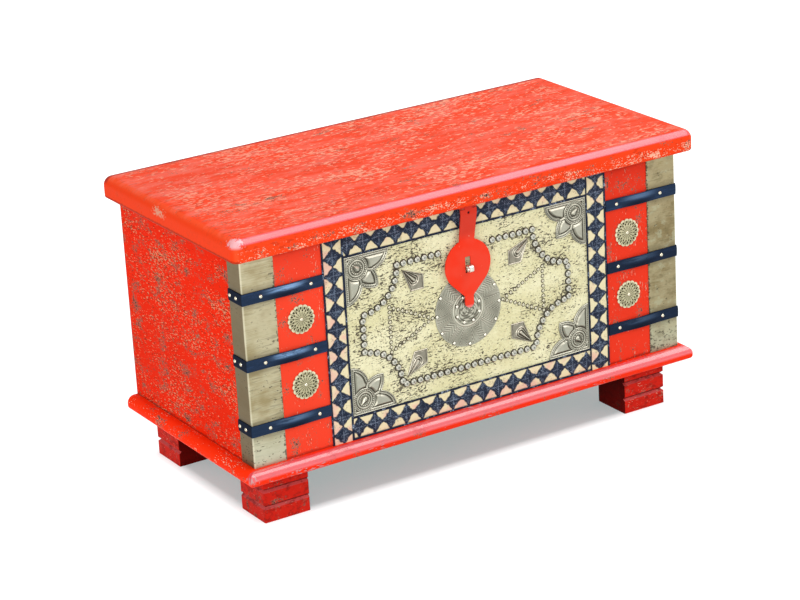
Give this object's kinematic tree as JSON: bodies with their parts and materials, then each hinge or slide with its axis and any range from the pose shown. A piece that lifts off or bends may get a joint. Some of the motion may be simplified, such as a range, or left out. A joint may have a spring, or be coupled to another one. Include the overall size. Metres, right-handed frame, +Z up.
{
  "type": "storage chest",
  "caption": "Painted wooden storage chest on block feet with a hinged lid, brass corners, iron straps, a carved border and a hasp that hangs over a staple.",
  "frame": {"origin": "on the floor under the middle of the chest", "axes": "+X to the chest's right as seen from the front, +Z up, the front faces -Y"},
  "size_m": [0.8, 0.408, 0.45],
  "materials": {
    "red_paint": "worn gloss paint",
    "cream_paint": "worn matt paint",
    "border_paint": "chip carved, painted",
    "brass_sheet": "brushed",
    "iron_paint": "gloss paint",
    "rosette_brass": "pierced, dull polish",
    "stamped_metal": "stamped, antique",
    "nail_brass": "dull polish",
    "stud_metal": "antique",
    "bare_wood": "planed",
    "hinge_steel": "plain",
    "staple_metal": "bright",
    "hasp_paint": "satin paint"
  },
  "bodies": {
    "chest": {"left_side_board": "red_paint", "right_side_board": "red_paint", "front_left_board": "red_paint", "front_right_board": "red_paint", "front_panel": "cream_paint", "back_board": "red_paint", "bottom_board": "bare_wood", "base_front_rail": "red_paint", "base_left_rail": "red_paint", "base_right_rail": "red_paint", "base_back_rail": "red_paint", "foot_front_left": "red_paint", "foot_front_right": "red_paint", "foot_back_left": "red_paint", "foot_back_right": "red_paint", "carved_left_stile": "border_paint", "carved_right_stile": "border_paint", "carved_top_rail": "border_paint", "carved_bottom_rail": "border_paint", "brass_corner_left": "brass_sheet", "brass_corner_right": "brass_sheet", "strap_left_bottom": "iron_paint", "strap_left_middle": "iron_paint", "strap_left_top": "iron_paint", "strap_right_bottom": "iron_paint", "strap_right_middle": "iron_paint", "strap_right_top": "iron_paint", "rosette_left_lower": "rosette_brass", "rosette_left_upper": "rosette_brass", "rosette_right_lower": "rosette_brass", "rosette_right_upper": "rosette_brass", "corner_plate_top_left": "stamped_metal", "corner_plate_top_right": "stamped_metal", "corner_plate_bottom_left": "stamped_metal", "corner_plate_bottom_right": "stamped_metal", "drop_plate_top_left": "stamped_metal", "drop_plate_top_right": "stamped_metal", "drop_plate_bottom_left": "stamped_metal", "drop_plate_bottom_right": "stamped_metal", "round_plate": "stamped_metal", "strap_nails": "nail_brass", "rosette_nails": "nail_brass", "round_plate_nails": "nail_brass", "bow_tie_nails": "nail_brass", "cartouche_studs": "stud_metal", "corner_dowels": "bare_wood", "foot_dowels": "bare_wood", "hinge_left_box_leaf": "hinge_steel", "hinge_right_box_leaf": "hinge_steel", "hinge_pins": "hinge_steel", "hinge_box_screws": "hinge_steel", "staple": "staple_metal"},
    "lid": {"lid_board": "red_paint", "hinge_left_lid_leaf": "hinge_steel", "hinge_right_lid_leaf": "hinge_steel", "hinge_lid_screws": "hinge_steel", "hasp_bracket": "hinge_steel", "hasp_pin": "hinge_steel", "hasp_bracket_screws": "hinge_steel"},
    "hasp": {"hasp": "hasp_paint"}
  },
  "joints": [
    {"name": "lid_hinge", "type": "hinge", "parent": "chest", "child": "lid", "pos_m": [0, 0.194, 0.416], "axis": [-1, 0, 0], "range_deg": [0, 105]},
    {"name": "hasp_hinge", "type": "hinge", "parent": "lid", "child": "hasp", "pos_m": [-0.005, -0.19, 0.4124], "axis": [-1, 0, 0], "range_deg": [0, 85]}
  ]
}
